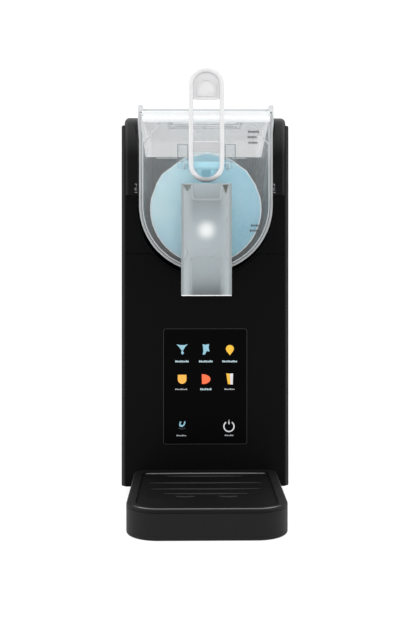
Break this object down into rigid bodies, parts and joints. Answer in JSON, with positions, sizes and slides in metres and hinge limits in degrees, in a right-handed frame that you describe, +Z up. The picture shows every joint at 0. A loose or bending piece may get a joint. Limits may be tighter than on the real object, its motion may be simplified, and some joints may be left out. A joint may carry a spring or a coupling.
{
  "type": "frozen drink dispenser",
  "caption": "Countertop frozen-drink maker: black tower body, clear tank round a chilled drum and auger, pull-handle tap, touch panel and slide-out drip tray.",
  "frame": {"origin": "on the table, under the middle of the bounding box", "axes": "+Z up, -Y towards the user, X across the symmetric body"},
  "size_m": [0.166, 0.446, 0.4052],
  "materials": {
    "black_housing": "fine satin moulded black",
    "black_side": "satin moulded black",
    "tray_black": "satin moulded charcoal black",
    "panel_glass": "gloss black touch window with printed symbols",
    "inlet_plastic": "black moulding",
    "circuit_board": "green board with parts",
    "chassis_steel": "zinc-plated sheet",
    "screw_steel": "dark plated steel",
    "drum_steel": "satin stainless",
    "fin_aluminium": "bright fins",
    "compressor_paint": "black enamel",
    "fan_plastic": "black fan",
    "copper": "bare copper tube",
    "bush_brass": "sintered bush",
    "gear_plastic": "natural acetal",
    "bulkhead_plastic": "dark grey moulding",
    "auger_plastic": "white scraper",
    "slush_ice": "pale blue granular frozen drink",
    "tank_clear": "clear frosted copolyester",
    "tap_frost": "translucent frosted moulding",
    "handle_frost": "white translucent moulding",
    "spout_frost": "grey translucent frosted moulding",
    "bail_grey": "grey translucent moulding",
    "seal_rubber": "grey silicone",
    "rubber_foot": "black rubber"
  },
  "bodies": {
    "housing": {"base_plate": "chassis_steel", "feet": "rubber_foot", "front_panel": "black_housing", "cradle_collar": "black_housing", "left_cheek": "black_housing", "right_cheek": "black_housing", "left_side_cover": "black_side", "right_side_cover": "black_side", "top_cover": "black_housing", "rear_cover": "black_side", "power_inlet": "inlet_plastic", "case_screws": "screw_steel", "touch_panel": "panel_glass", "panel_carrier": "inlet_plastic", "control_board": "circuit_board", "power_board": "circuit_board", "inlet_lead": "inlet_plastic", "compressor": "compressor_paint", "compressor_mounts": "rubber_foot", "condenser": "fin_aluminium", "fan_shroud": "inlet_plastic", "fan_bracket": "chassis_steel", "fan_motor": "chassis_steel", "refrigerant_pipes": "copper", "filter_drier": "copper", "bulkhead": "bulkhead_plastic", "evaporator_drum": "drum_steel", "evaporator_coil": "copper", "shaft_seal": "seal_rubber", "shaft_bearing": "bush_brass", "gearbox": "inlet_plastic", "drive_motor": "chassis_steel", "bail_pivots": "inlet_plastic"},
    "tank_unit": {"tank": "tank_clear", "tank_seal": "seal_rubber", "lid_pin": "tank_clear", "tap_body": "tap_frost", "handle_pin": "tap_frost", "handle_springs": "drum_steel"},
    "lid": {"fill_lid": "tank_clear"},
    "handle": {"tap_handle": "handle_frost"},
    "plunger": {"valve_plunger": "tap_frost", "plunger_seals": "seal_rubber"},
    "shroud": {"spout_shroud": "spout_frost"},
    "bail": {"lock_bail": "bail_grey"},
    "auger_unit": {"auger": "auger_plastic", "auger_shaft": "drum_steel", "slush": "slush_ice", "output_gear": "gear_plastic"},
    "pinion": {"motor_pinion": "screw_steel"},
    "fan": {"condenser_fan": "fan_plastic"},
    "tray": {"drip_tray": "tray_black"},
    "grate": {"drip_grate": "tray_black"}
  },
  "joints": [
    {"name": "tank_slide", "type": "slide", "parent": "housing", "child": "tank_unit", "axis": [0, -1, 0], "range_m": [0, 0.205]},
    {"name": "lid_hinge", "type": "hinge", "parent": "tank_unit", "child": "lid", "pos_m": [0, -0.026, 0.3715], "axis": [1, 0, 0], "range_deg": [-100, 0]},
    {"name": "tap_pull", "type": "hinge", "parent": "tank_unit", "child": "handle", "pos_m": [0, -0.1562, 0.318], "axis": [1, 0, 0], "range_deg": [0, 50], "stiffness_Nm_per_rad": 0.3, "springref_deg": -28.65},
    {"name": "plunger_lift", "type": "slide", "parent": "tank_unit", "child": "plunger", "axis": [0, 0, 1], "range_m": [0, 0.0145]},
    {"name": "shroud_slide", "type": "slide", "parent": "tank_unit", "child": "shroud", "axis": [0, 0, -1], "range_m": [0, 0.045]},
    {"name": "bail_hinge", "type": "hinge", "parent": "housing", "child": "bail", "pos_m": [0, -0.01, 0.303], "axis": [1, 0, 0], "range_deg": [-75, 0]},
    {"name": "auger_spin", "type": "hinge", "parent": "housing", "child": "auger_unit", "pos_m": [0, 0, 0.284], "axis": [0, 1, 0], "continuous": true},
    {"name": "pinion_spin", "type": "hinge", "parent": "housing", "child": "pinion", "pos_m": [0, 0.106, 0.2465], "axis": [0, 1, 0], "continuous": true},
    {"name": "fan_spin", "type": "hinge", "parent": "housing", "child": "fan", "pos_m": [0, 0.16, 0.105], "axis": [0, 1, 0], "continuous": true},
    {"name": "tray_slide", "type": "slide", "parent": "housing", "child": "tray", "axis": [0, -1, 0], "range_m": [0, 0.15]},
    {"name": "grate_lift", "type": "slide", "parent": "tray", "child": "grate", "axis": [0, 0, 1], "range_m": [0, 0.04]}
  ],
  "couplings": [
    {"joint": "plunger_lift", "follows": "tap_pull", "m_per_rad": 0.016466},
    {"joint": "pinion_spin", "follows": "auger_spin", "ratio": -4}
  ]
}
